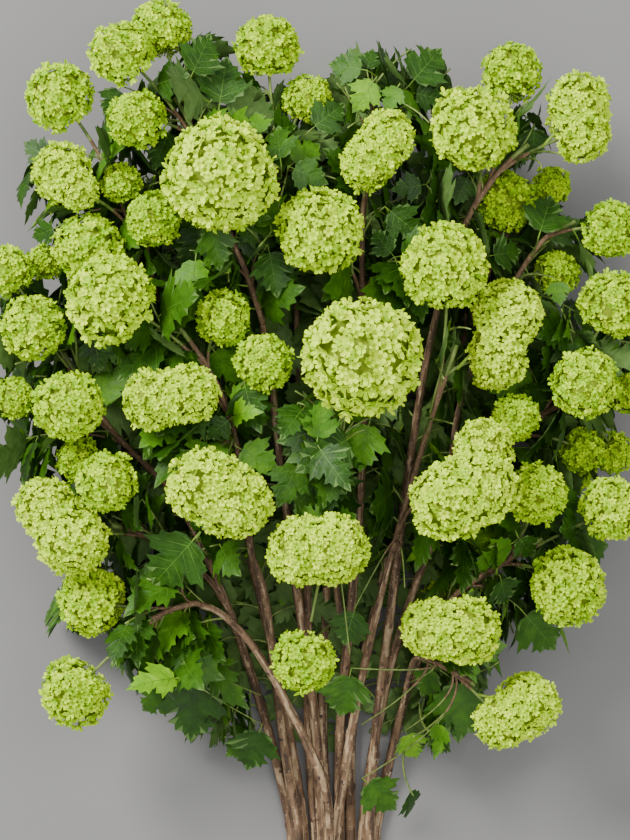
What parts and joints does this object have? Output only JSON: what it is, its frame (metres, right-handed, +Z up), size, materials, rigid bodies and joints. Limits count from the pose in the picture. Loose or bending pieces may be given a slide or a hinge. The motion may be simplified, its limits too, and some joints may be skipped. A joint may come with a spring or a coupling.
{
  "type": "bunch of cut snowball viburnum branches",
  "caption": "Loose bunch of cut woody branches with round green flower heads and lobed leaves, lying flat on its side.",
  "frame": {"origin": "middle of the bunch's bounding box, on the surface that it lies on", "axes": "+Y along the bunch from the cut ends to the flowers, +Z up from the surface that it lies on, +X across it"},
  "size_m": [0.5098, 0.7508, 0.2682],
  "materials": {
    "bark": "rough brown bark",
    "foliage": "dark green leaves with a slight gloss",
    "flower_heads": "soft lime green petals"
  },
  "bodies": {
    "root": {"bough_back_left": "bark", "bough_front": "bark", "bough_low_back": "bark", "bough_lowest_right": "bark", "bough_mid_left": "bark", "bough_outer_top_right": "bark", "foliage_back": "foliage", "foliage_back_left": "foliage", "foliage_back_right": "foliage", "foliage_front": "foliage", "foliage_left": "foliage", "foliage_low_back": "foliage", "foliage_low_left": "foliage", "foliage_low_right": "foliage", "foliage_lowest_right": "foliage", "foliage_mid_left": "foliage", "foliage_outer_left": "foliage", "foliage_outer_right": "foliage", "foliage_outer_top_left": "foliage", "foliage_outer_top_right": "foliage", "foliage_right": "foliage", "foliage_top": "foliage", "foliage_top_left": "foliage", "foliage_top_middle": "foliage", "foliage_top_right": "foliage", "head_01": "flower_heads", "head_02": "flower_heads", "head_03": "flower_heads", "head_04": "flower_heads", "head_05": "flower_heads", "head_06": "flower_heads", "head_07": "flower_heads", "head_08": "flower_heads", "head_09": "flower_heads", "head_10": "flower_heads", "head_11": "flower_heads", "head_12": "flower_heads", "head_13": "flower_heads", "head_14": "flower_heads", "head_15": "flower_heads", "head_16": "flower_heads", "head_17": "flower_heads", "head_18": "flower_heads", "head_19": "flower_heads", "head_20": "flower_heads", "head_21": "flower_heads", "head_22": "flower_heads", "stem_back": "bark", "stem_back_right": "bark", "stem_left": "bark", "stem_low_left": "bark", "stem_low_right": "bark", "stem_outer_left": "bark", "stem_outer_right": "bark", "stem_outer_top_left": "bark", "stem_right": "bark", "stem_top": "bark", "stem_top_left": "bark", "stem_top_middle": "bark", "stem_top_right": "bark"}
  },
  "joints": []
}
